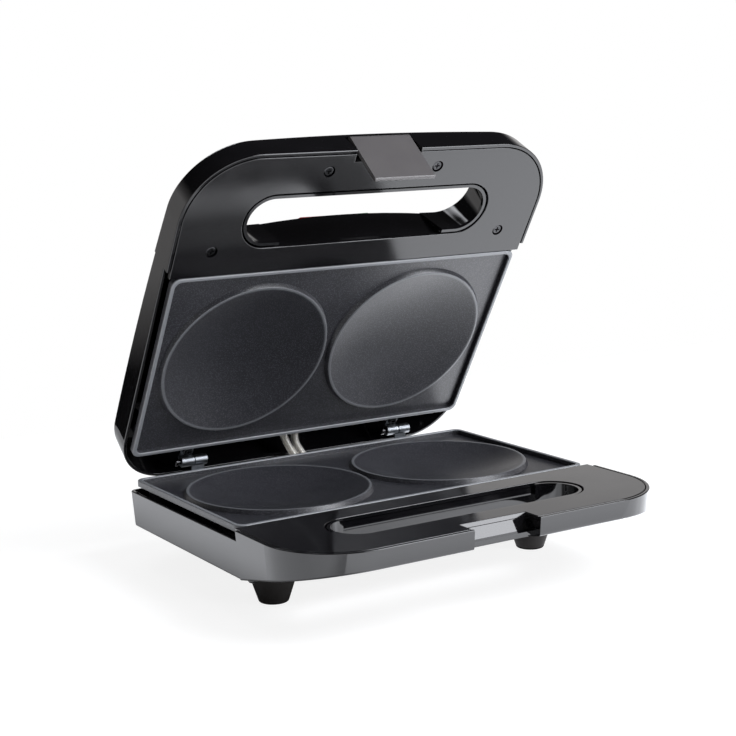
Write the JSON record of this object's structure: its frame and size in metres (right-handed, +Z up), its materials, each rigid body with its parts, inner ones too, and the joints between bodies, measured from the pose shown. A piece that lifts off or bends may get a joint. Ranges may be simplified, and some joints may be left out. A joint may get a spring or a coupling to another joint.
{
  "type": "arepa maker",
  "caption": "Countertop arepa maker with a hinged lid, round ringed bowls in facing cooking plates, finger slots in both handles and a front latch, shown with its lid open.",
  "frame": {"origin": "middle of the bounding box's bottom face, on the counter under the feet, lid open as stored", "axes": "+Z up, -Y towards the user at the handle, +X to the right of a user who faces the handle"},
  "size_m": [0.235, 0.2412, 0.2407],
  "materials": {
    "gloss_black_case": "high gloss moulded plastic",
    "non_stick": "satin non-stick coating on cast aluminium",
    "element_steel": "matt sheathed element",
    "zinc_steel": "zinc-plated steel",
    "screw_steel": "bright plated steel",
    "reflector": "bright aluminium sheet",
    "dark_rubber": "matt rubber",
    "ceramic": "unglazed ceramic",
    "stat_resin": "black phenolic resin",
    "sleeve": "clear silicone sleeve over tinned wire",
    "latch_grey": "satin grey moulded plastic",
    "window_red": "clear red plastic",
    "window_green": "clear green plastic",
    "lamp_glass": "glass of a neon lamp"
  },
  "bodies": {
    "base": {"base_shell": "gloss_black_case", "base_handle_cover": "gloss_black_case", "base_plate": "non_stick", "base_heater": "element_steel", "base_heater_straps": "zinc_steel", "base_strap_screws": "screw_steel", "base_heat_shield": "reflector", "base_shield_screws": "screw_steel", "base_plate_front_screws": "screw_steel", "base_plate_rear_screws": "screw_steel", "base_cover_screws": "screw_steel", "front_feet": "dark_rubber", "rear_feet": "dark_rubber", "foot_screws": "screw_steel", "mains_inlet_bush": "dark_rubber", "terminal_block": "ceramic", "thermostat": "stat_resin", "base_wires": "sleeve", "link_wires": "sleeve", "wire_bush": "dark_rubber", "base_hinge_leaves": "zinc_steel", "base_hinge_screws": "screw_steel", "hinge_pins": "screw_steel"},
    "lid": {"lid_shell": "gloss_black_case", "lid_handle_cover": "gloss_black_case", "lid_plate": "non_stick", "lid_heater": "element_steel", "lid_heater_straps": "zinc_steel", "lid_strap_screws": "screw_steel", "lid_heat_shield": "reflector", "lid_shield_screws": "screw_steel", "lid_plate_screws": "screw_steel", "lid_cover_screws": "screw_steel", "lid_hinge_leaves": "zinc_steel", "lid_hinge_screws": "screw_steel", "signal_window_red": "window_red", "signal_window_green": "window_green", "signal_lamps": "lamp_glass", "thermal_fuse": "ceramic", "lid_wires": "sleeve", "latch_pin": "screw_steel"},
    "latch": {"latch": "latch_grey"}
  },
  "joints": [
    {"name": "lid_hinge", "type": "hinge", "parent": "base", "child": "lid", "pos_m": [0, 0.09237, 0.0511], "axis": [-1, 0, 0], "range_deg": [-59, 46], "deforming": ["link_wires"]},
    {"name": "latch_pivot", "type": "hinge", "parent": "lid", "child": "latch", "pos_m": [0, -0.01035, 0.23467], "axis": [-1, 0, 0], "range_deg": [0, 30]}
  ]
}
